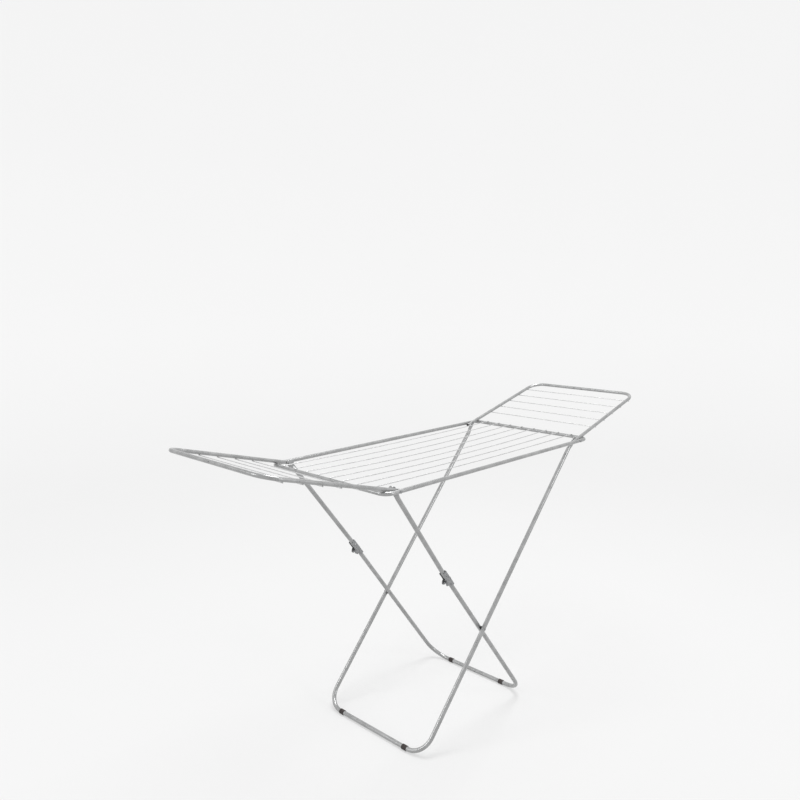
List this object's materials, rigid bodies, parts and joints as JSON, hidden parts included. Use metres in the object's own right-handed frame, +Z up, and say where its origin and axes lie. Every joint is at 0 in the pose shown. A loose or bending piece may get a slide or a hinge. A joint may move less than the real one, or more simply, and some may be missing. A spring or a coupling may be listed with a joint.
{
  "type": "clothes drying rack",
  "caption": "Folding winged drying rack: wired tube deck on crossed, knee-jointed leg frames, with a wired wing hinged at each end.",
  "frame": {"origin": "on the floor under the middle of the deck", "axes": "+X along the deck towards the end where the outer leg frame is pinned, +Y across the deck, +Z up"},
  "size_m": [1.8716, 0.5572, 1.0537],
  "materials": {
    "tube": "satin silver-grey powder coat on steel tube",
    "wire": "satin silver-grey coated steel wire",
    "bracket": "pressed steel, silver-grey paint",
    "fastener": "zinc-plated rivets and pins",
    "black_plastic": "moulded black plastic",
    "rubber": "dark rubber sleeves"
  },
  "bodies": {
    "deck": {"deck_frame": "tube", "deck_wire_1": "wire", "deck_wire_2": "wire", "deck_wire_3": "wire", "deck_wire_4": "wire", "deck_wire_5": "wire", "deck_wire_6": "wire", "deck_wire_7": "wire", "deck_wire_8": "wire", "pivot_pin_right_front": "fastener", "pivot_pin_right_back": "fastener", "pivot_pin_left_front": "fastener", "pivot_pin_left_back": "fastener", "pivot_washer_right_front": "black_plastic", "pivot_washer_right_back": "black_plastic", "pivot_washer_left_front": "black_plastic", "pivot_washer_left_back": "black_plastic"},
    "right_wing": {"right_wing_frame": "tube", "right_wing_wire_1": "wire", "right_wing_wire_2": "wire", "right_wing_wire_3": "wire", "right_wing_wire_4": "wire", "right_wing_wire_5": "wire", "right_wing_plug_front": "black_plastic", "right_wing_plug_back": "black_plastic"},
    "left_wing": {"left_wing_frame": "tube", "left_wing_wire_1": "wire", "left_wing_wire_2": "wire", "left_wing_wire_3": "wire", "left_wing_wire_4": "wire", "left_wing_wire_5": "wire", "left_wing_plug_front": "black_plastic", "left_wing_plug_back": "black_plastic"},
    "outer_leg": {"outer_leg_frame": "tube", "outer_foot_sleeve_front": "rubber", "outer_foot_sleeve_back": "rubber", "crossing_spacer_front": "black_plastic", "crossing_spacer_back": "black_plastic", "crossing_rivet_front": "fastener", "crossing_rivet_back": "fastener"},
    "struts": {"strut_front": "tube", "strut_back": "tube", "upper_knee_bracket_front": "bracket", "upper_knee_bracket_back": "bracket", "knee_pin_front": "fastener", "knee_pin_back": "fastener", "upper_knee_rivet_front": "fastener", "upper_knee_rivet_back": "fastener"},
    "inner_leg": {"inner_leg_frame": "tube", "lower_knee_bracket_front": "bracket", "lower_knee_bracket_back": "bracket", "lower_knee_rivet_front": "fastener", "lower_knee_rivet_back": "fastener", "inner_foot_sleeve_front": "rubber", "inner_foot_sleeve_back": "rubber", "crossing_tail_front": "fastener", "crossing_tail_back": "fastener"}
  },
  "joints": [
    {"name": "right_wing_fold", "type": "hinge", "parent": "deck", "child": "right_wing", "pos_m": [0.479, 0, 0.925], "axis": [0, -1, 0], "range_deg": [0, 162.6]},
    {"name": "left_wing_fold", "type": "hinge", "parent": "deck", "child": "left_wing", "pos_m": [-0.479, 0, 0.925], "axis": [0, 1, 0], "range_deg": [0, 162.6]},
    {"name": "leg_fold", "type": "hinge", "parent": "deck", "child": "outer_leg", "pos_m": [0.479, 0, 0.925], "axis": [0, 1, 0], "range_deg": [0, 46]},
    {"name": "strut_fold", "type": "hinge", "parent": "deck", "child": "struts", "pos_m": [-0.479, 0, 0.925], "axis": [0, -1, 0], "range_deg": [0, 52.94]},
    {"name": "knee_fold", "type": "hinge", "parent": "struts", "child": "inner_leg", "pos_m": [-0.2174, 0, 0.55611], "axis": [0, 1, 0], "range_deg": [0, 179.7]}
  ],
  "couplings": [
    {"joint": "strut_fold", "follows": "leg_fold", "ratio": 1.1504},
    {"joint": "knee_fold", "follows": "leg_fold", "ratio": 3.9062}
  ]
}
